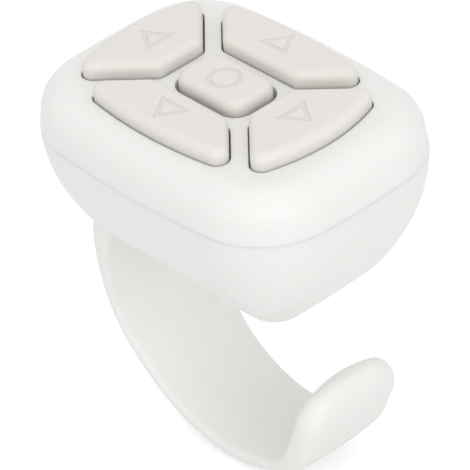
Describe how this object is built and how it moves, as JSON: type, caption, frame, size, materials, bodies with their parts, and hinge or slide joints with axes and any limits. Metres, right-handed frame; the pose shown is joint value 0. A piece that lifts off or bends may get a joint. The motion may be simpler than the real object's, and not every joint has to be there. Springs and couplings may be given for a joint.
{
  "type": "smartphone remote control",
  "caption": "Finger-worn phone remote: rounded two-part case with arrow keys round a centre key and an open ring below for the finger.",
  "frame": {"origin": "centre of the finger opening: the middle of the ring's inner circle, at mid-width of the case", "axes": "+Z towards the keys, +X towards the ring's open mouth, +Y along the finger towards the charging inlet"},
  "size_m": [0.0366, 0.0272, 0.042],
  "materials": {
    "case_plastic": "fine satin white moulded shell",
    "key_plastic": "warm light grey, soft matte",
    "switch_housing": "black moulded base",
    "switch_cover": "tinned spring steel",
    "switch_plunger": "brown nylon",
    "snap_dome": "polished spring steel",
    "circuit_board": "green solder mask",
    "chip_package": "black epoxy",
    "crystal_can": "nickel can",
    "antenna_ceramic": "white ceramic",
    "capacitor_body": "tan ceramic with tinned ends",
    "resistor_body": "black film with tinned ends",
    "port_steel": "stamped stainless steel",
    "port_plastic": "black moulded tongue",
    "battery_pouch": "foil pouch",
    "foam": "closed-cell foam",
    "lead_red": "silicone sleeve",
    "lead_black": "silicone sleeve",
    "screw_steel": "zinc plated"
  },
  "bodies": {
    "case": {"top_shell": "case_plastic", "bottom_shell": "case_plastic", "switch_bases": "switch_housing", "switch_covers": "switch_cover", "circuit_board": "circuit_board", "bluetooth_chip": "chip_package", "charger_chip": "chip_package", "crystal": "crystal_can", "chip_antenna": "antenna_ceramic", "capacitors": "capacitor_body", "resistors": "resistor_body", "usb_c_shell": "port_steel", "usb_c_tongue": "port_plastic", "battery_cell": "battery_pouch", "battery_foam": "foam", "battery_lead_red": "lead_red", "battery_lead_black": "lead_black", "board_screws": "screw_steel", "right_dome": "snap_dome", "rear_dome": "snap_dome", "left_dome": "snap_dome", "front_dome": "snap_dome", "centre_dome": "snap_dome"},
    "right_button": {"right_arrow_key": "key_plastic", "right_plunger": "switch_plunger"},
    "rear_button": {"rear_arrow_key": "key_plastic", "rear_plunger": "switch_plunger"},
    "left_button": {"left_arrow_key": "key_plastic", "left_plunger": "switch_plunger"},
    "front_button": {"front_arrow_key": "key_plastic", "front_plunger": "switch_plunger"},
    "centre_button": {"centre_key": "key_plastic", "centre_plunger": "switch_plunger"}
  },
  "joints": [
    {"name": "right_press", "type": "slide", "parent": "case", "child": "right_button", "axis": [0, 0, -1], "range_m": [0, 0.0003], "stiffness_N_per_m": 3000, "deforming": ["right_dome"]},
    {"name": "rear_press", "type": "slide", "parent": "case", "child": "rear_button", "axis": [0, 0, -1], "range_m": [0, 0.0003], "stiffness_N_per_m": 3000, "deforming": ["rear_dome"]},
    {"name": "left_press", "type": "slide", "parent": "case", "child": "left_button", "axis": [0, 0, -1], "range_m": [0, 0.0003], "stiffness_N_per_m": 3000, "deforming": ["left_dome"]},
    {"name": "front_press", "type": "slide", "parent": "case", "child": "front_button", "axis": [0, 0, -1], "range_m": [0, 0.0003], "stiffness_N_per_m": 3000, "deforming": ["front_dome"]},
    {"name": "centre_press", "type": "slide", "parent": "case", "child": "centre_button", "axis": [0, 0, -1], "range_m": [0, 0.0003], "stiffness_N_per_m": 3000, "deforming": ["centre_dome"]}
  ]
}
